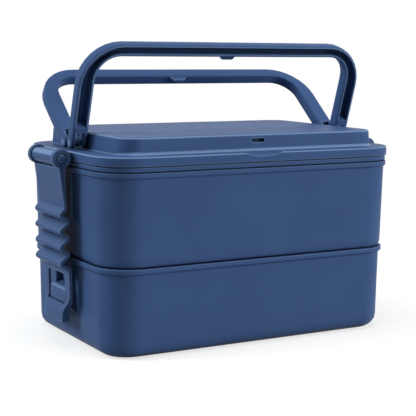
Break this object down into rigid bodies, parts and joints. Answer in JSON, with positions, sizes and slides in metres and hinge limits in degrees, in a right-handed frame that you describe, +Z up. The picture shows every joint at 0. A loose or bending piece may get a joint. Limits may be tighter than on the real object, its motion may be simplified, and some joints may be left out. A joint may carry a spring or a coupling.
{
  "type": "two-tier lunch box",
  "caption": "Stacked two-tier lunch box with an inner lid, an outer lid with folding bail handles and a flexible side latch on each end.",
  "frame": {"origin": "centre of the lower box's underside, on the surface that it stands on", "axes": "+X along the long side towards the right latch, -Y towards the front handle, +Z up"},
  "size_m": [0.2334, 0.13, 0.1821],
  "materials": {
    "slate_plastic": "satin moulded slate blue",
    "silicone": "matt grey-blue silicone"
  },
  "bodies": {
    "base": {"lower_box": "slate_plastic"},
    "divider_body": {"divider": "slate_plastic"},
    "upper_tier": {"upper_box": "slate_plastic", "tier_gasket": "silicone"},
    "inner_lid_body": {"inner_lid": "slate_plastic", "inner_lid_gasket": "silicone"},
    "lid": {"outer_lid": "slate_plastic"},
    "front_bail": {"front_handle": "slate_plastic"},
    "rear_bail": {"rear_handle": "slate_plastic"},
    "left_pin": {"left_latch_pin": "slate_plastic"},
    "right_pin": {"right_latch_pin": "slate_plastic"},
    "left_latch_body": {"left_latch": "slate_plastic"},
    "right_latch_body": {"right_latch": "slate_plastic"}
  },
  "joints": [
    {"name": "lid_lift", "type": "slide", "parent": "base", "child": "lid", "axis": [0, 0, 1], "range_m": [0, 0.085]},
    {"name": "inner_lid_lift", "type": "slide", "parent": "base", "child": "inner_lid_body", "axis": [0, 0, 1], "range_m": [0, 0.072]},
    {"name": "upper_tier_lift", "type": "slide", "parent": "base", "child": "upper_tier", "axis": [0, 0, 1], "range_m": [0, 0.062]},
    {"name": "divider_lift", "type": "slide", "parent": "base", "child": "divider_body", "axis": [0, 0, 1], "range_m": [0, 0.057]},
    {"name": "left_pin_turn", "type": "hinge", "parent": "lid", "child": "left_pin", "pos_m": [-0.111, 0, 0.114], "axis": [0, 1, 0], "range_deg": [0, 80]},
    {"name": "right_pin_turn", "type": "hinge", "parent": "lid", "child": "right_pin", "pos_m": [0.111, 0, 0.114], "axis": [0, -1, 0], "range_deg": [0, 80]},
    {"name": "left_latch_swing", "type": "hinge", "parent": "left_pin", "child": "left_latch_body", "pos_m": [-0.111, 0, 0.114], "axis": [0, 1, 0], "range_deg": [0, 95]},
    {"name": "right_latch_swing", "type": "hinge", "parent": "right_pin", "child": "right_latch_body", "pos_m": [0.111, 0, 0.114], "axis": [0, -1, 0], "range_deg": [0, 95]},
    {"name": "front_handle_swing", "type": "hinge", "parent": "lid", "child": "front_bail", "pos_m": [0, -0.0048, 0.122], "axis": [1, 0, 0], "range_deg": [-18, 72]},
    {"name": "rear_handle_swing", "type": "hinge", "parent": "lid", "child": "rear_bail", "pos_m": [0, 0.0048, 0.122], "axis": [1, 0, 0], "range_deg": [-39.5, 50.5]}
  ],
  "couplings": [
    {"joint": "inner_lid_lift", "follows": "lid_lift", "ratio": 0.84},
    {"joint": "upper_tier_lift", "follows": "lid_lift", "ratio": 0.72},
    {"joint": "divider_lift", "follows": "lid_lift", "ratio": 0.66},
    {"joint": "left_pin_turn", "follows": "lid_lift", "rad_per_m": 16.42},
    {"joint": "right_pin_turn", "follows": "lid_lift", "rad_per_m": 16.42}
  ]
}
